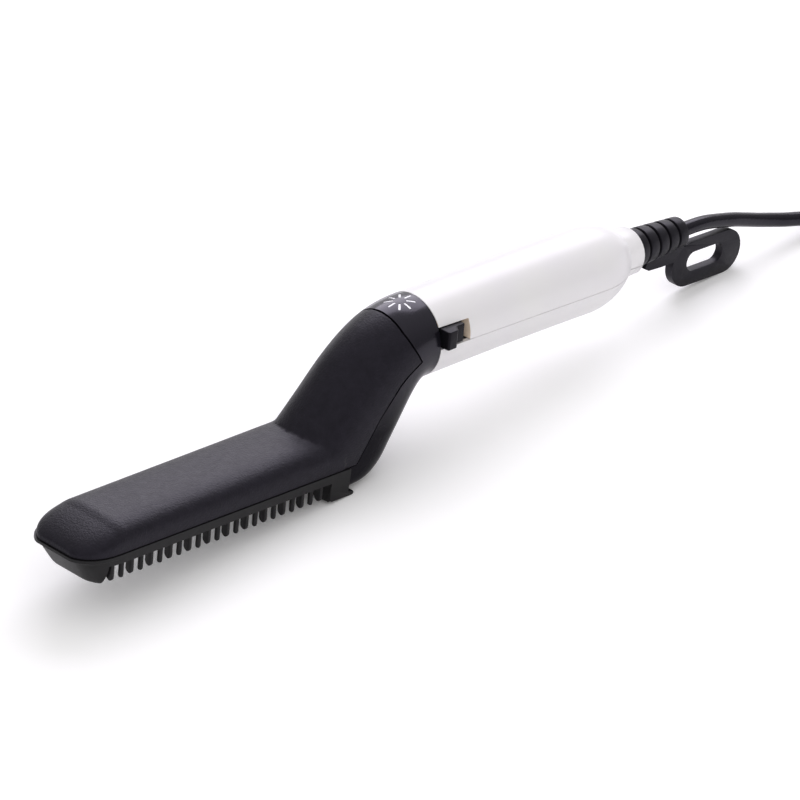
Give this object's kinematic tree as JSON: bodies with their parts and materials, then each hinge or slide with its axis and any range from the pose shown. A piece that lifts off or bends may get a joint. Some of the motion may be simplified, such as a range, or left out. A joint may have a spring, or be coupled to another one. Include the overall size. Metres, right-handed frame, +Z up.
{
  "type": "electric hair comb",
  "caption": "Heated styling comb with a flat toothed head on an angled neck, a round handle with a slide switch, and a mains lead with a hanging loop.",
  "frame": {"origin": "centre of the tool's footprint box, on the surface that the tool lies on; the lead, its hank and its plug are left out of that box", "axes": "+X from the comb's nose towards the lead, +Z up from the surface; the switch is on the -Y side. The handle's own axis dips 6.67 degrees below +X towards the lead"},
  "size_m": [0.5197, 0.0542, 0.0545],
  "materials": {
    "soft_black": "fine soft-touch matte moulding, near-black",
    "gloss_black": "glossy black moulding",
    "comb_black": "satin black moulding",
    "pearl_white": "pearl white lacquer on moulded plastic",
    "switch_black": "satin black moulding",
    "relief_rubber": "satin flexible PVC, black",
    "cord_sheath": "satin flexible PVC sheath, black",
    "plug_black": "satin black moulding",
    "light_window": "translucent white light guide",
    "plate_metal": "brushed aluminium",
    "screw_steel": "plain zinc-plated steel",
    "pin_brass": "nickel-flashed brass pins",
    "ceramic": "unglazed ceramic",
    "film": "amber film",
    "carrier_resin": "dark heat-resistant resin",
    "board_green": "green solder mask",
    "wire_red": "red wire insulation",
    "wire_blue": "blue wire insulation"
  },
  "bodies": {
    "tool": {"head_shell": "soft_black", "neck_shell_with_collar": "gloss_black", "light_guide": "light_window", "handle_upper_half": "pearl_white", "handle_lower_half": "pearl_white", "handle_screw_1": "screw_steel", "handle_screw_2": "screw_steel", "handle_screw_3": "screw_steel", "plate_carrier": "carrier_resin", "heating_plate": "plate_metal", "ptc_heater": "ceramic", "insulating_film": "film", "heater_clip": "screw_steel", "heater_clip_screw_1": "screw_steel", "heater_clip_screw_2": "screw_steel", "carrier_screw_1": "screw_steel", "carrier_screw_2": "screw_steel", "neck_screw": "screw_steel", "thermal_fuse": "plate_metal", "circuit_board": "board_green", "led": "light_window", "switch_housing": "switch_black", "dropper_capacitor": "film", "triac": "switch_black", "mains_fuse": "ceramic", "strain_relief_with_loop": "relief_rubber", "inner_lead": "cord_sheath", "cord_clamp": "pearl_white", "cord_clamp_screw_1": "screw_steel", "cord_clamp_screw_2": "screw_steel", "mains_wire_1": "wire_red", "mains_wire_2": "wire_blue", "heater_wire_1": "wire_red", "heater_wire_2": "wire_blue", "fuse_wire": "wire_blue", "power_cord": "cord_sheath", "cord_hank": "cord_sheath", "cord_tie": "plug_black", "plug_body": "plug_black", "plug_pin_1": "pin_brass", "plug_pin_2": "pin_brass"},
    "comb": {"comb_attachment": "comb_black"},
    "slider": {"switch_slider": "switch_black"}
  },
  "joints": [
    {"name": "comb_release", "type": "slide", "parent": "tool", "child": "comb", "axis": [-0.1161, 0, -0.9932], "range_m": [0, 0.012]},
    {"name": "switch_slide", "type": "slide", "parent": "tool", "child": "slider", "axis": [0.9932, 0, -0.1161], "range_m": [0, 0.003]}
  ]
}
